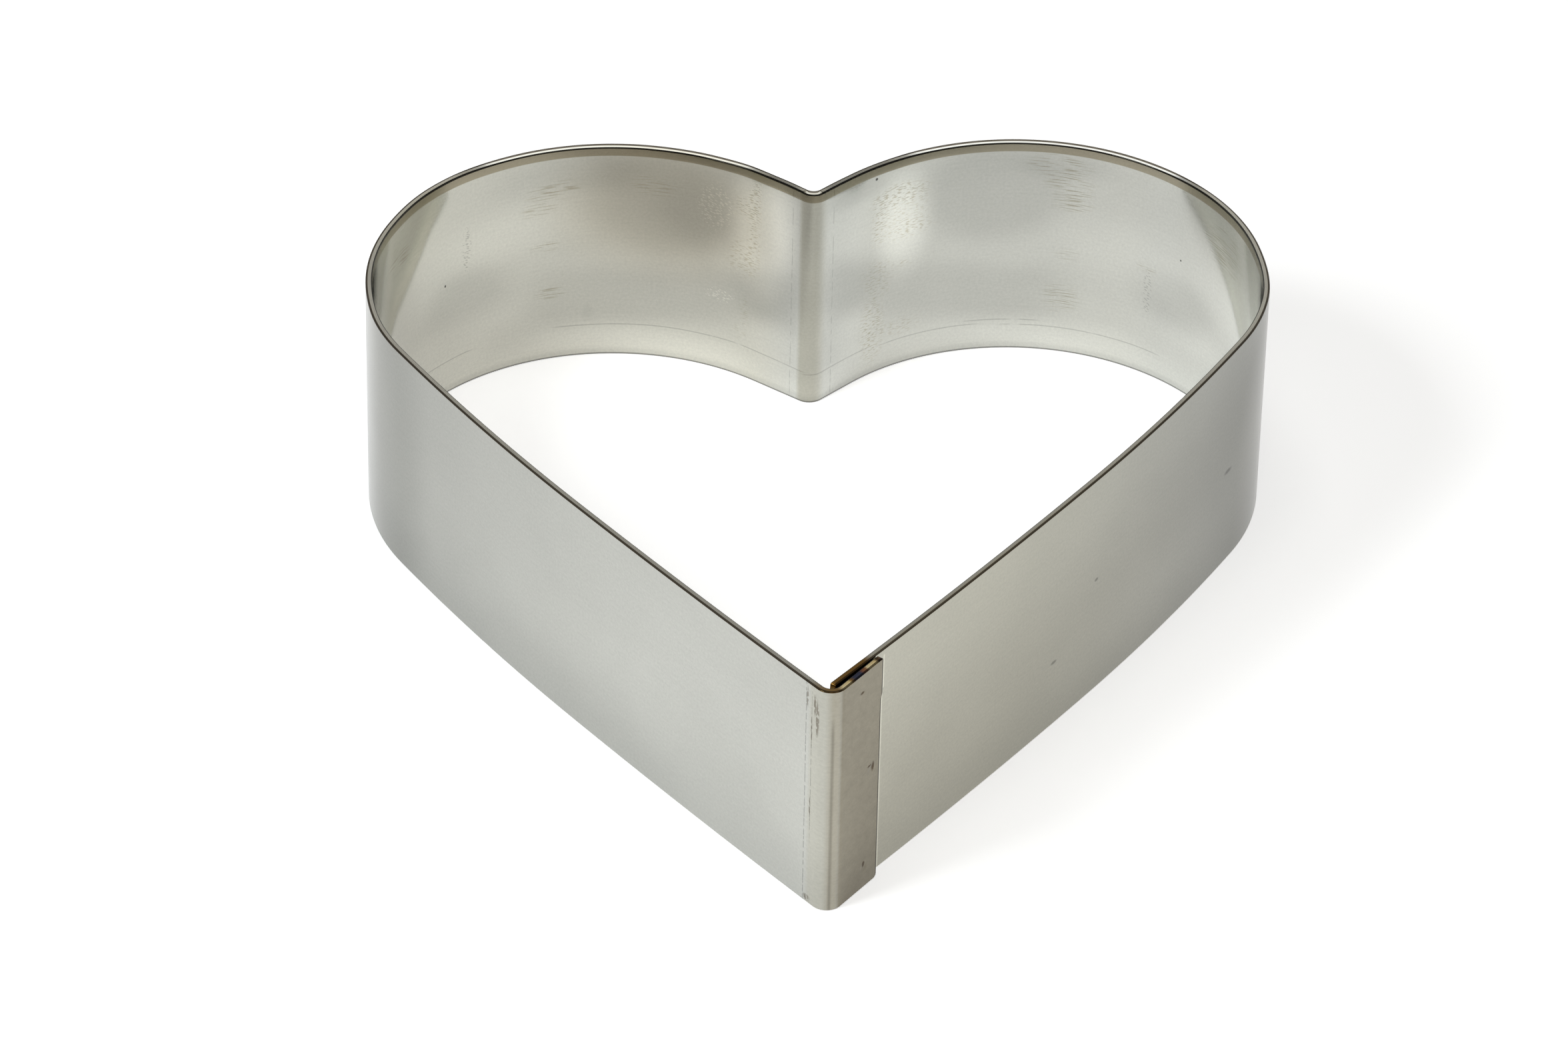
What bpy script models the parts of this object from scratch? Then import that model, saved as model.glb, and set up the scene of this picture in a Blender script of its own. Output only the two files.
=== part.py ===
"""Heart cake ring: one strip of stainless steel bent to a heart, lapped and spot welded at its tip.

The strip's inner face is drawn in plan, from its inner end at the tip up the right side, round the
right lobe, the notch and the left lobe, down the left side, round the tip and along the lap that
covers the right side's outer face. Plan frame: the corner where the two sides' inner faces would
meet is (0, 0), +X is to the right and +Y runs up to the notch.
"""

import math

import bmesh
import bpy
from mathutils import Matrix, Vector

# Strip
STRIP_HEIGHT = 0.045
STRIP_THICKNESS = 0.0012
EDGE_ROUNDING = 0.0002
STRIP_CORNER_RADIUS = 0.0008

# Right half, on the inner face: two shallow arcs up the side, the lobe and a straight to the notch
RIGHT_TIP_ANGLE = math.radians(39.5)
RIGHT_LOWER_SIDE_LENGTH = 0.0733
RIGHT_LOWER_SIDE_RADIUS = 1.425
RIGHT_UPPER_SIDE_LENGTH = 0.04975
RIGHT_UPPER_SIDE_RADIUS = 0.440
RIGHT_LOBE_RADIUS = 0.0415
RIGHT_NOTCH_STRAIGHT = 0.0080

# Left half, bent a little fuller than the right
LEFT_TIP_ANGLE = math.radians(39.8)
LEFT_LOWER_SIDE_LENGTH = 0.0648
LEFT_LOWER_SIDE_RADIUS = 1.690
LEFT_UPPER_SIDE_LENGTH = 0.0534
LEFT_UPPER_SIDE_RADIUS = 0.533
LEFT_LOBE_RADIUS = 0.0420
LEFT_NOTCH_STRAIGHT = 0.0101

# Bends, as radii of the strip's inner face
NOTCH_BEND_RADIUS = 0.0030
TIP_BEND_RADIUS = 0.0017

# Lap joint: distances from the tip corner along the right side, and the slit between the layers
INNER_END_SETBACK = 0.00135
LAP_REACH = 0.0118
LAP_ROOT_GAP = 0.0006
LAP_END_GAP = 0.0003

# Spot welds: the electrode's mark is a shallow cone with a flat floor, and the middle weld sits
# above the strip's middle by its rise
NUGGET_DIAMETER = 0.0022
NUGGET_PENETRATION = 0.00015
NUGGET_CLEARANCE = 0.0003
MARK_DIAMETER = 0.0026
MARK_FLOOR_DIAMETER = 0.0014
MARK_DEPTH = 0.0002
UPPER_WELD_BELOW_RIM = 0.0041
MIDDLE_WELD_RISE = 0.0012
LOWER_WELD_ABOVE_BASE = 0.0043
UPPER_WELD_FROM_END = 0.0052
MIDDLE_WELD_FROM_END = 0.0021
LOWER_WELD_FROM_END = 0.0037

# Facets: the most that a chord may leave its arc, the steps of each rounding, the sides of the
# round weld shapes and the least angles between faces that are rounded or kept sharp
CHORD_ERROR = 0.000015
CORNER_STEPS = 4
EDGE_STEPS = 2
ROUND_SIDES = 24
ROUNDED_ANGLE = math.radians(60)
SHARP_ANGLE = math.radians(40)

# Finishes, each a colour and a roughness
BAND_FINISH = ((0.62, 0.61, 0.57), 0.28)
WELD_FINISH = ((0.42, 0.38, 0.32), 0.45)


def remove_scene_objects():
    for obj in list(bpy.data.objects):
        bpy.data.objects.remove(obj, do_unlink=True)


def steel(name, finish):
    colour, roughness = finish
    material = bpy.data.materials.new(name)
    material.use_nodes = True
    shader = material.node_tree.nodes["Principled BSDF"]
    shader.inputs["Base Color"].default_value = (*colour, 1.0)
    shader.inputs["Metallic"].default_value = 1.0
    shader.inputs["Roughness"].default_value = roughness
    return material


def arc_points(centre, start, end, turn):
    """Points after start up to end, round centre; turn is +1 anticlockwise and -1 clockwise."""
    spoke = start - centre
    radius = spoke.length
    last = end - centre
    angle = turn * math.atan2(spoke.cross(last), spoke.dot(last)) % (2 * math.pi)
    step = 2 * math.acos(1 - CHORD_ERROR / radius)
    count = max(2, math.ceil(angle / step))
    return [centre + Matrix.Rotation(turn * angle * i / count, 2) @ spoke for i in range(1, count + 1)]


class Side:
    """One half of the heart's inner face, drawn upwards from the tip corner; hand is +1 at the right."""

    def __init__(
        self,
        hand,
        tip_angle,
        lower_length,
        lower_radius,
        upper_length,
        upper_radius,
        lobe_radius,
        notch_straight,
    ):
        self.hand = hand
        self.lower_radius = lower_radius
        self.lobe_radius = lobe_radius
        self.notch_straight = notch_straight
        self.tip_angle = tip_angle
        self.lower_centre = self.to_inside(Vector((0, 0)), tip_angle, lower_radius)
        bend_angle = tip_angle - lower_length / lower_radius
        self.bend = self.on_lower(lower_length)
        self.upper_centre = self.to_inside(self.bend, bend_angle, upper_radius)
        top_angle = bend_angle - upper_length / upper_radius
        self.top = self.to_inside(self.upper_centre, top_angle, -upper_radius)
        self.lobe_centre = self.to_inside(self.top, top_angle, lobe_radius)

    def to_inside(self, point, angle, distance):
        """A point moved square to a side that leans outwards by angle, towards the heart's middle."""
        return point + distance * Vector((-self.hand * math.cos(angle), math.sin(angle)))

    def on_lower(self, length):
        """The point of the lower arc at a length from the tip corner."""
        angle = self.tip_angle - length / self.lower_radius
        return self.to_inside(self.lower_centre, angle, -self.lower_radius)

    def reach_to_notch(self):
        """Distance from the lobe's centre to the notch bend's."""
        return math.hypot(self.lobe_radius + NOTCH_BEND_RADIUS, self.notch_straight)

    def notch_line(self, notch):
        """The ends of the straight between the lobe and the notch bend, whose centre is notch."""
        angle = math.atan2(self.notch_straight, self.lobe_radius + NOTCH_BEND_RADIUS)
        spoke = Matrix.Rotation(-self.hand * angle, 2) @ (notch - self.lobe_centre).normalized()
        return self.lobe_centre + spoke * self.lobe_radius, notch - spoke * NOTCH_BEND_RADIUS

    def outward(self):
        """Unit vector out of the side at the tip."""
        return Vector((self.hand * math.cos(self.tip_angle), -math.sin(self.tip_angle)))

    def upward(self):
        """Unit vector along the side at the tip, away from the tip."""
        return Vector((self.hand * math.sin(self.tip_angle), math.cos(self.tip_angle)))


def upper_crossing(centre_a, radius_a, centre_b, radius_b):
    """The crossing of two circles with the greater Y."""
    span = centre_b - centre_a
    along = (radius_a**2 - radius_b**2 + span.length_squared) / (2 * span.length)
    across = math.sqrt(radius_a**2 - along**2)
    foot = centre_a + span.normalized() * along
    square = Vector((-span.y, span.x)).normalized() * across
    return max(foot + square, foot - square, key=lambda point: point.y)


def last_crossing(point, direction, centre, radius):
    """Where a line leaves a circle, going along its direction."""
    offset = point - centre
    along = offset.dot(direction)
    reach = math.sqrt(along**2 - offset.length_squared + radius**2)
    return point + direction * (reach - along)


class Lap:
    """The lap's inner face: a straight line that closes on the right side's outer face."""

    def __init__(self, right):
        outer_face = right.outward() * STRIP_THICKNESS
        root = outer_face + right.outward() * LAP_ROOT_GAP
        self.end = outer_face + right.upward() * LAP_REACH + right.outward() * LAP_END_GAP
        self.direction = (self.end - root).normalized()
        self.outward = Vector((self.direction.y, -self.direction.x))

    def bend_centre(self, left):
        """Centre of the tip bend, which touches the left side's inner face and the lap's."""
        line_point = self.end - self.outward * TIP_BEND_RADIUS
        return last_crossing(
            line_point, -self.direction, left.lower_centre, left.lower_radius - TIP_BEND_RADIUS
        )


def strip_path(right, left, lap):
    """The strip's inner face in plan, from its inner end to the lap's free end."""
    notch = upper_crossing(
        right.lobe_centre, right.reach_to_notch(), left.lobe_centre, left.reach_to_notch()
    )
    lobe_right, notch_right = right.notch_line(notch)
    lobe_left, notch_left = left.notch_line(notch)
    tip = lap.bend_centre(left)
    tip_left = left.lower_centre + (tip - left.lower_centre).normalized() * left.lower_radius
    tip_lap = tip + lap.outward * TIP_BEND_RADIUS

    inner_end = right.on_lower(INNER_END_SETBACK)
    path = [inner_end]
    path += arc_points(right.lower_centre, inner_end, right.bend, 1)
    path += arc_points(right.upper_centre, right.bend, right.top, 1)
    path += arc_points(right.lobe_centre, right.top, lobe_right, 1)
    path += [notch_right]
    path += arc_points(notch, notch_right, notch_left, -1)
    path += [lobe_left]
    path += arc_points(left.lobe_centre, lobe_left, left.top, 1)
    path += arc_points(left.upper_centre, left.top, left.bend, 1)
    path += arc_points(left.lower_centre, left.bend, tip_left, 1)
    path += arc_points(tip, tip_left, tip_lap, 1)
    return path + [lap.end]


def new_object(name, bm, collection, material, parent=None):
    mesh = bpy.data.meshes.new(name)
    bm.to_mesh(mesh)
    bm.free()
    if material:
        mesh.materials.append(material)
    obj = bpy.data.objects.new(name, mesh)
    obj.parent = parent
    collection.objects.link(obj)
    return obj


def bent_sheet(path):
    """The path raised to the strip's height, its corners rounded and its faces looking out of the heart."""
    bm = bmesh.new()
    feet = [bm.verts.new((point.x, point.y, 0)) for point in path]
    edges = [bm.edges.new(pair) for pair in zip(feet, feet[1:])]
    raised = bmesh.ops.extrude_edge_only(bm, edges=edges)
    heads = [item for item in raised["geom"] if isinstance(item, bmesh.types.BMVert)]
    bmesh.ops.translate(bm, verts=heads, vec=(0, 0, STRIP_HEIGHT))
    corners = [vert for vert in bm.verts if len(vert.link_faces) == 1]
    bmesh.ops.bevel(
        bm,
        geom=corners,
        offset=STRIP_CORNER_RADIUS,
        segments=CORNER_STEPS,
        profile=0.5,
        affect="VERTICES",
    )
    bmesh.ops.recalc_face_normals(bm, faces=bm.faces)
    leftmost = min(bm.faces, key=lambda face: face.calc_center_median().x)
    if leftmost.normal.x > 0:
        bmesh.ops.reverse_faces(bm, faces=bm.faces)
    return bm


def make_strip(path, collection, parent):
    finish = steel("band_steel", BAND_FINISH)
    strip = new_object("heart_band", bent_sheet(path), collection, finish, parent)
    thicken = strip.modifiers.new("thickness", "SOLIDIFY")
    thicken.thickness = STRIP_THICKNESS
    thicken.offset = 1
    thicken.use_even_offset = True
    rounding = strip.modifiers.new("edge rounding", "BEVEL")
    rounding.width = EDGE_ROUNDING
    rounding.segments = EDGE_STEPS
    rounding.limit_method = "ANGLE"
    rounding.angle_limit = ROUNDED_ANGLE
    return strip


def round_body(radius_low, radius_high, depth):
    """A drum or cone about Z, centred on the origin."""
    bm = bmesh.new()
    bmesh.ops.create_cone(
        bm, cap_ends=True, segments=ROUND_SIDES, radius1=radius_low, radius2=radius_high, depth=depth
    )
    return bm


def cut(target, cutter):
    cutter.hide_render = True
    cutter.display_type = "WIRE"
    boolean = target.modifiers.new(cutter.name, "BOOLEAN")
    boolean.operation = "DIFFERENCE"
    boolean.object = cutter


class Weld:
    """One spot weld: a nugget let into both layers, and the electrode's mark on the lap."""

    def __init__(self, name, height, from_end, right, lap):
        self.name = name
        on_lap = lap.end - lap.direction * from_end
        gap = (on_lap - right.lower_centre).length - (right.lower_radius + STRIP_THICKNESS)
        self.length = gap + 2 * NUGGET_PENETRATION
        self.facing = lap.outward.to_3d().to_track_quat("Z", "X")
        self.middle = (on_lap - lap.outward * gap / 2).to_3d() + Vector((0, 0, height))
        self.mark = (on_lap + lap.outward * STRIP_THICKNESS).to_3d() + Vector((0, 0, height))

    def place(self, obj, position):
        obj.location = position
        obj.rotation_mode = "QUATERNION"
        obj.rotation_quaternion = self.facing

    def make_nugget(self, collection, material, parent):
        radius = NUGGET_DIAMETER / 2
        nugget = new_object(self.name, round_body(radius, radius, self.length), collection, material, parent)
        nugget.data.shade_smooth()
        nugget.data.set_sharp_from_angle(angle=SHARP_ANGLE)
        self.place(nugget, self.middle)

    def cut_pockets(self, strip, collection, parent):
        radius = NUGGET_DIAMETER / 2 + NUGGET_CLEARANCE
        depth = self.length + 2 * NUGGET_CLEARANCE
        drum = round_body(radius, radius, depth)
        pocket = new_object(self.name + "_pocket", drum, collection, None, parent)
        self.place(pocket, self.middle)
        cut(strip, pocket)

    def cut_mark(self, strip, collection, parent):
        floor = MARK_FLOOR_DIAMETER / 2
        mouth = MARK_DIAMETER - floor
        cone = round_body(floor, mouth, 2 * MARK_DEPTH)
        mark = new_object(self.name + "_mark", cone, collection, None, parent)
        self.place(mark, self.mark)
        cut(strip, mark)


def new_collection(name):
    collection = bpy.data.collections.new(name)
    bpy.context.scene.collection.children.link(collection)
    return collection


def stand_on_origin(frame, strip):
    """Move the frame so that the strip stands centred on the world origin."""
    bpy.context.view_layer.update()
    evaluated = strip.evaluated_get(bpy.context.evaluated_depsgraph_get())
    corners = [Vector(corner) for corner in evaluated.bound_box]
    low, high = corners[0], corners[6]
    frame.location = (-(low.x + high.x) / 2, -(low.y + high.y) / 2, -low.z)


def main():
    remove_scene_objects()
    parts = new_collection("heart_cake_ring")
    cutters = new_collection("cutters")
    frame = bpy.data.objects.new("tip_corner", None)
    parts.objects.link(frame)

    right = Side(
        1,
        RIGHT_TIP_ANGLE,
        RIGHT_LOWER_SIDE_LENGTH,
        RIGHT_LOWER_SIDE_RADIUS,
        RIGHT_UPPER_SIDE_LENGTH,
        RIGHT_UPPER_SIDE_RADIUS,
        RIGHT_LOBE_RADIUS,
        RIGHT_NOTCH_STRAIGHT,
    )
    left = Side(
        -1,
        LEFT_TIP_ANGLE,
        LEFT_LOWER_SIDE_LENGTH,
        LEFT_LOWER_SIDE_RADIUS,
        LEFT_UPPER_SIDE_LENGTH,
        LEFT_UPPER_SIDE_RADIUS,
        LEFT_LOBE_RADIUS,
        LEFT_NOTCH_STRAIGHT,
    )
    lap = Lap(right)
    strip = make_strip(strip_path(right, left, lap), parts, frame)

    weld_steel = steel("weld_steel", WELD_FINISH)
    welds = [
        Weld("upper_spot_weld", STRIP_HEIGHT - UPPER_WELD_BELOW_RIM, UPPER_WELD_FROM_END, right, lap),
        Weld("middle_spot_weld", STRIP_HEIGHT / 2 + MIDDLE_WELD_RISE, MIDDLE_WELD_FROM_END, right, lap),
        Weld("lower_spot_weld", LOWER_WELD_ABOVE_BASE, LOWER_WELD_FROM_END, right, lap),
    ]
    for weld in welds:
        weld.make_nugget(parts, weld_steel, frame)
        weld.cut_pockets(strip, cutters, frame)
        weld.cut_mark(strip, cutters, frame)
    stand_on_origin(frame, strip)


main()
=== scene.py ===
import math

import bmesh
import bpy
from mathutils import Matrix, Vector


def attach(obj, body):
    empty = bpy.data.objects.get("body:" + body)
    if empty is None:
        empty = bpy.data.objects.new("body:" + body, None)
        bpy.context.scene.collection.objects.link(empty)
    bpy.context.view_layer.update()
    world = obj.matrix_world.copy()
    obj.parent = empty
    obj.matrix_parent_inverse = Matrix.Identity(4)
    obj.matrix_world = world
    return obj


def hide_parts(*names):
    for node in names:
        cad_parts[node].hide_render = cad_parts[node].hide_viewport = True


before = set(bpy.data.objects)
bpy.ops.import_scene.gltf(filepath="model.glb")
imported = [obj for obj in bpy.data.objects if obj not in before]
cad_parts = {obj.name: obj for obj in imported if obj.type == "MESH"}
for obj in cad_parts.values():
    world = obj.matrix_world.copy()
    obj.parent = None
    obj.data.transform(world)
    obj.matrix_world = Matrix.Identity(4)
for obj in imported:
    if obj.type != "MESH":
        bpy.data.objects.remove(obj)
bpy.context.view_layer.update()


# A socket that Python's operators work on; each operation adds a Math node
class Value:
    def __init__(self, graph, socket):
        self.graph = graph
        self.socket = socket

    def math(self, operation, *others):
        values = dict(enumerate((self, *others)))
        return self.graph.add("ShaderNodeMath", {"operation": operation}, values)

    def __add__(self, other):
        return self.math("ADD", other)

    def __sub__(self, other):
        return self.math("SUBTRACT", other)

    def __rsub__(self, other):
        return self.graph.add("ShaderNodeMath", {"operation": "SUBTRACT"}, {0: other, 1: self})

    def __mul__(self, other):
        return self.math("MULTIPLY", other)

    def __truediv__(self, other):
        return self.math("DIVIDE", other)

    def __abs__(self):
        return self.math("ABSOLUTE")

    __radd__ = __add__

    def most(self, other):
        return self.math("MAXIMUM", other)

    # 0 at low and 1 at high, easing in and out; it falls where low is the greater
    def ramp(self, low, high):
        settings = {"interpolation_type": "SMOOTHSTEP"}
        values = {"Value": self, "From Min": low, "From Max": high}
        return self.graph.add("ShaderNodeMapRange", settings, values)

    # 1 between low and high, with soft ends
    def between(self, low, high, soft):
        return self.ramp(low - soft, low + soft) * self.ramp(high + soft, high - soft)

    # 1 at a place, falling to 0 at the reach
    def near(self, place, reach):
        return abs(self - place).ramp(reach, 0)


# A node tree, with short methods for the nodes that it needs often
class Graph:
    def __init__(self, tree):
        self.tree = tree

    def link(self, source, socket):
        if isinstance(source, Value):
            self.tree.links.new(source.socket, socket)
        else:
            socket.default_value = source

    # A new node: its settings come first, then the values or links of its sockets
    def node(self, kind, settings=None, values=None):
        node = self.tree.nodes.new(kind)
        for name, setting in (settings or {}).items():
            if name == "stops":
                self.setStops(node.color_ramp.elements, setting)
            else:
                setattr(node, name, setting)
        for name, value in (values or {}).items():
            self.link(value, node.inputs[name])
        return node

    # The stops of a colour ramp, as pairs of a place and a colour
    def setStops(self, elements, stops):
        while len(elements) < len(stops):
            elements.new(0.5)
        for element, (place, shade) in zip(elements, stops):
            element.position = place
            element.color = shade

    def add(self, kind, settings=None, values=None, output=0):
        return Value(self, self.node(kind, settings, values).outputs[output])

    def xyz(self, x, y, z=0.0):
        return self.add("ShaderNodeCombineXYZ", None, {"X": x, "Y": y, "Z": z})

    def noise(self, vector, scale, detail=2.0, roughness=0.5):
        values = {"Vector": vector, "Scale": scale, "Detail": detail, "Roughness": roughness}
        return self.add("ShaderNodeTexNoise", None, values)

    def vector(self, operation, first, second):
        return self.add("ShaderNodeVectorMath", {"operation": operation}, {0: first, 1: second})

    def scaled(self, vector, scale):
        return self.add("ShaderNodeVectorMath", {"operation": "SCALE"}, {0: vector, "Scale": scale})

    # The X, Y and Z of a vector
    def split(self, vector):
        node = self.node("ShaderNodeSeparateXYZ", None, {0: vector})
        return [Value(self, socket) for socket in node.outputs]

    # 1 inside any of a table's ovals, given as their middles and half sizes, with soft edges
    def ovals(self, place, table, soft):
        total = None
        for x, y, halfX, halfY in table:
            offset = self.vector("SUBTRACT", place, (x, y, 0.0))
            share = self.vector("DIVIDE", offset, (halfX, halfY, 1.0))
            length = self.add("ShaderNodeVectorMath", {"operation": "LENGTH"}, {0: share}, "Value")
            one = length.ramp(1 + soft, 1 - soft)
            total = one if total is None else total.most(one)
        return total

    def attribute(self, name):
        return self.add("ShaderNodeAttribute", {"attribute_name": name}, None, "Fac")

    def blend(self, factor, low, high):
        settings = {"data_type": "RGBA", "clamp_factor": True}
        return self.add("ShaderNodeMix", settings, {0: factor, 6: low, 7: high}, 2)

    def tint(self, factor, colour, by):
        settings = {"data_type": "RGBA", "blend_type": "MULTIPLY", "clamp_factor": True}
        return self.add("ShaderNodeMix", settings, {0: factor, 6: colour, 7: by}, 2)

    # The material's output: bare metal, with a bump where one is given
    def metal(self, colour, roughness, bump=None):
        values = {"Base Color": colour, "Metallic": 1.0, "Roughness": roughness}
        if bump:
            values["Normal"] = bump
        shader = self.add("ShaderNodeBsdfPrincipled", None, values)
        self.node("ShaderNodeOutputMaterial", None, {"Surface": shader})


def newMaterial(name):
    material = bpy.data.materials.new(name)
    material.use_nodes = True
    material.node_tree.nodes.clear()
    return material, Graph(material.node_tree)


def newPiece(name, bm):
    mesh = bpy.data.meshes.new(name)
    bm.to_mesh(mesh)
    bm.free()
    piece = bpy.data.objects.new(name, mesh)
    bpy.context.scene.collection.objects.link(piece)
    return piece


# The strip's inner face in plan, as it is bent, in metres. In this plan the corner where the two
# sides would meet is (0, 0), +X is to the right and +Y runs up to the notch.
bend = {
    "thickness": 0.0012,
    "notchRadius": 0.0030,
    "tipRadius": 0.0017,
    "innerEndSetback": 0.00135,
    "lapReach": 0.0118,
    "lapRootGap": 0.0006,
    "lapEndGap": 0.00012,
    "runOn": 0.002,  # past the lap's end, for the step in its free edge
    "step": math.radians(0.75),
    "chord": 0.0015,  # the longest straight piece of an arc
    "right": {
        "hand": 1,
        "tipAngle": math.radians(39.5),
        "lowerLength": 0.0733,
        "lowerRadius": 1.425,
        "upperLength": 0.04975,
        "upperRadius": 0.440,
        "lobeRadius": 0.0415,
        "notchStraight": 0.0080,
    },
    "left": {
        "hand": -1,
        "tipAngle": math.radians(39.8),
        "lowerLength": 0.0648,
        "lowerRadius": 1.690,
        "upperLength": 0.0534,
        "upperRadius": 0.533,
        "lobeRadius": 0.0420,
        "notchStraight": 0.0101,
    },
}


class Side:
    def __init__(self, sizes):
        self.hand = sizes["hand"]
        self.tipAngle = sizes["tipAngle"]
        self.lowerRadius = sizes["lowerRadius"]
        self.lobeRadius = sizes["lobeRadius"]
        self.notchStraight = sizes["notchStraight"]
        self.lowerCentre = self.inside(Vector((0, 0)), self.tipAngle, self.lowerRadius)
        bendAngle = self.tipAngle - sizes["lowerLength"] / self.lowerRadius
        self.bend = self.onLower(sizes["lowerLength"])
        self.upperCentre = self.inside(self.bend, bendAngle, sizes["upperRadius"])
        topAngle = bendAngle - sizes["upperLength"] / sizes["upperRadius"]
        self.top = self.inside(self.upperCentre, topAngle, -sizes["upperRadius"])
        self.lobeCentre = self.inside(self.top, topAngle, self.lobeRadius)

    # A point moved square to a side that leans outwards by angle, towards the heart's middle
    def inside(self, point, angle, distance):
        return point + distance * Vector((-self.hand * math.cos(angle), math.sin(angle)))

    def onLower(self, length):
        angle = self.tipAngle - length / self.lowerRadius
        return self.inside(self.lowerCentre, angle, -self.lowerRadius)

    def reachToNotch(self):
        return math.hypot(self.lobeRadius + bend["notchRadius"], self.notchStraight)

    # The ends of the straight between the lobe and the notch bend, whose centre is notch
    def notchLine(self, notch):
        angle = math.atan2(self.notchStraight, self.lobeRadius + bend["notchRadius"])
        spoke = Matrix.Rotation(-self.hand * angle, 2) @ (notch - self.lobeCentre).normalized()
        return self.lobeCentre + spoke * self.lobeRadius, notch - spoke * bend["notchRadius"]

    def outward(self):
        return Vector((self.hand * math.cos(self.tipAngle), -math.sin(self.tipAngle)))

    def upward(self):
        return Vector((self.hand * math.sin(self.tipAngle), math.cos(self.tipAngle)))


# The crossing of two circles with the greater Y
def upperCrossing(centreA, radiusA, centreB, radiusB):
    span = centreB - centreA
    along = (radiusA**2 - radiusB**2 + span.length_squared) / (2 * span.length)
    square = Vector((-span.y, span.x)).normalized() * math.sqrt(radiusA**2 - along**2)
    foot = centreA + span.normalized() * along
    return max(foot + square, foot - square, key=lambda point: point.y)


# Where a line leaves a circle
def lastCrossing(point, direction, centre, radius):
    offset = point - centre
    along = offset.dot(direction)
    return point + direction * (math.sqrt(along**2 - offset.length_squared + radius**2) - along)


# The path with the distance along it at which each stretch ends
class Path:
    def __init__(self, start):
        self.points = [start]
        self.length = 0.0
        self.ends = {}

    def go(self, point):
        self.length += (point - self.points[-1]).length
        self.points.append(point)

    def line(self, name, end):
        self.go(end)
        self.ends[name] = self.length

    # turn is +1 anticlockwise and -1 clockwise
    def arc(self, name, centre, end, turn):
        spoke = self.points[-1] - centre
        angle = turn * math.atan2(spoke.cross(end - centre), spoke.dot(end - centre)) % (2 * math.pi)
        count = max(2, math.ceil(angle / min(bend["step"], bend["chord"] / spoke.length)))
        for i in range(1, count + 1):
            self.go(centre + Matrix.Rotation(turn * angle * i / count, 2) @ spoke)
        self.ends[name] = self.length


def heartPath():
    right = Side(bend["right"])
    left = Side(bend["left"])
    outerFace = right.outward() * bend["thickness"]
    root = outerFace + right.outward() * bend["lapRootGap"]
    lapEnd = outerFace + right.upward() * bend["lapReach"] + right.outward() * bend["lapEndGap"]
    lapWay = (lapEnd - root).normalized()
    lapOut = Vector((lapWay.y, -lapWay.x))
    tipRadius = bend["tipRadius"]
    tip = lastCrossing(
        lapEnd - lapOut * tipRadius, -lapWay, left.lowerCentre, left.lowerRadius - tipRadius
    )
    notch = upperCrossing(
        right.lobeCentre, right.reachToNotch(), left.lobeCentre, left.reachToNotch()
    )
    lobeRight, notchRight = right.notchLine(notch)
    lobeLeft, notchLeft = left.notchLine(notch)
    tipLeft = left.lowerCentre + (tip - left.lowerCentre).normalized() * left.lowerRadius

    path = Path(right.onLower(bend["innerEndSetback"]))
    path.arc("rightBend", right.lowerCentre, right.bend, 1)
    path.arc("rightTop", right.upperCentre, right.top, 1)
    path.arc("rightLobe", right.lobeCentre, lobeRight, 1)
    path.line("rightStraight", notchRight)
    path.arc("notch", notch, notchLeft, -1)
    path.line("leftStraight", lobeLeft)
    path.arc("leftLobe", left.lobeCentre, left.top, 1)
    path.arc("leftTop", left.upperCentre, left.bend, 1)
    path.arc("leftSide", left.lowerCentre, tipLeft, 1)
    path.arc("tip", tip, tip + lapOut * tipRadius, 1)
    path.line("lap", lapEnd)
    path.go(lapEnd + lapWay * bend["runOn"])
    return path


path = heartPath()
print("path", {name: round(1000 * end, 2) for name, end in path.ends.items()})


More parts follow.
